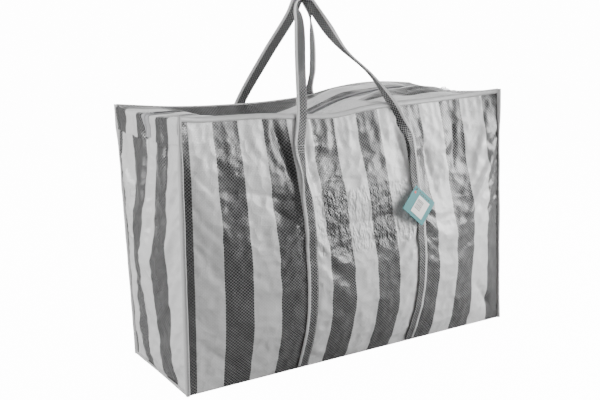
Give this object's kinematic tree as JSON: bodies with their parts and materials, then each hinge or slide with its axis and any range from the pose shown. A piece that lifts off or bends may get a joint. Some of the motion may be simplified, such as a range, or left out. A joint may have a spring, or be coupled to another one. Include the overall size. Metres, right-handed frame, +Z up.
{
  "type": "striped woven zip bag",
  "caption": "Large flat-based carrying bag of striped woven plastic cloth, with a zipped top, long strap handles sewn down its faces and a square card tag.",
  "frame": {"origin": "middle of the base's underside, where the bag stands", "axes": "+X along the long side towards the end where the zip closes, -Y out of the front face that carries the tag, +Z up"},
  "size_m": [0.7614, 0.3655, 0.7031],
  "materials": {
    "striped_cloth": "gloss",
    "seam_binding": "satin",
    "handle_strap": "satin",
    "zip_tape": "matte",
    "zip_coil": "satin",
    "zip_metal": "satin",
    "tag_card": "satin",
    "tag_label": "matte",
    "tag_loop": "gloss"
  },
  "bodies": {
    "bag": {"base_panel": "striped_cloth", "front_panel": "striped_cloth", "back_panel": "striped_cloth", "left_end_panel": "striped_cloth", "right_end_panel": "striped_cloth", "left_front_corner_seam": "seam_binding", "left_front_corner_turn": "seam_binding", "left_back_corner_seam": "seam_binding", "left_back_corner_turn": "seam_binding", "right_front_corner_seam": "seam_binding", "right_front_corner_turn": "seam_binding", "right_back_corner_seam": "seam_binding", "right_back_corner_turn": "seam_binding", "left_base_seam": "seam_binding", "right_base_seam": "seam_binding", "front_rim_hem": "seam_binding", "back_rim_hem": "seam_binding", "left_front_end_band": "striped_cloth", "left_back_end_band": "striped_cloth", "right_front_end_band": "striped_cloth", "right_back_end_band": "striped_cloth", "left_front_end_tape": "zip_tape", "left_back_end_tape": "zip_tape", "right_front_end_tape": "zip_tape", "right_back_end_tape": "zip_tape", "left_front_end_coil": "zip_coil", "left_back_end_coil": "zip_coil", "right_front_end_coil": "zip_coil", "right_back_end_coil": "zip_coil", "left_zip_stop": "zip_metal", "right_zip_stop": "zip_metal", "front_left_sewn_strap": "handle_strap", "front_right_sewn_strap": "handle_strap", "back_left_sewn_strap": "handle_strap", "back_right_sewn_strap": "handle_strap", "front_top_margin": "striped_cloth", "back_top_margin": "striped_cloth", "tag_loop": "tag_loop"},
    "front_top": {"front_top_panel": "striped_cloth", "front_zip_tape": "zip_tape", "front_zip_coil": "zip_coil"},
    "back_top": {"back_top_panel": "striped_cloth", "back_zip_tape": "zip_tape", "back_zip_coil": "zip_coil"},
    "zip_slider": {"zip_slider": "zip_metal"},
    "zip_pull": {"zip_pull": "zip_metal"},
    "front_handle": {"front_handle": "handle_strap"},
    "back_handle": {"back_handle": "handle_strap"},
    "hang_tag": {"tag_card": "tag_card", "tag_label": "tag_label"}
  },
  "joints": [
    {"name": "front_top_open", "type": "hinge", "parent": "bag", "child": "front_top", "pos_m": [0, -0.1017, 0.493], "axis": [1, 0, 0], "range_deg": [0, 60]},
    {"name": "back_top_open", "type": "hinge", "parent": "bag", "child": "back_top", "pos_m": [0, 0.1017, 0.493], "axis": [-1, 0, 0], "range_deg": [0, 60]},
    {"name": "zip_slide", "type": "slide", "parent": "bag", "child": "zip_slider", "axis": [1, 0, 0], "range_m": [-0.654, 0]},
    {"name": "zip_pull_turn", "type": "hinge", "parent": "zip_slider", "child": "zip_pull", "pos_m": [0.336, 0, 0.4987], "axis": [0, 1, 0], "range_deg": [0, 170]},
    {"name": "front_handle_swing", "type": "hinge", "parent": "bag", "child": "front_handle", "pos_m": [0, -0.148, 0.425], "axis": [1, 0, 0], "range_deg": [0, 160]},
    {"name": "back_handle_swing", "type": "hinge", "parent": "bag", "child": "back_handle", "pos_m": [0, 0.148, 0.425], "axis": [-1, 0, 0], "range_deg": [0, 160]},
    {"name": "tag_swing", "type": "hinge", "parent": "bag", "child": "hang_tag", "pos_m": [0.124, -0.16766, 0.326], "axis": [0, 1, 0], "range_deg": [-70, 70]}
  ]
}
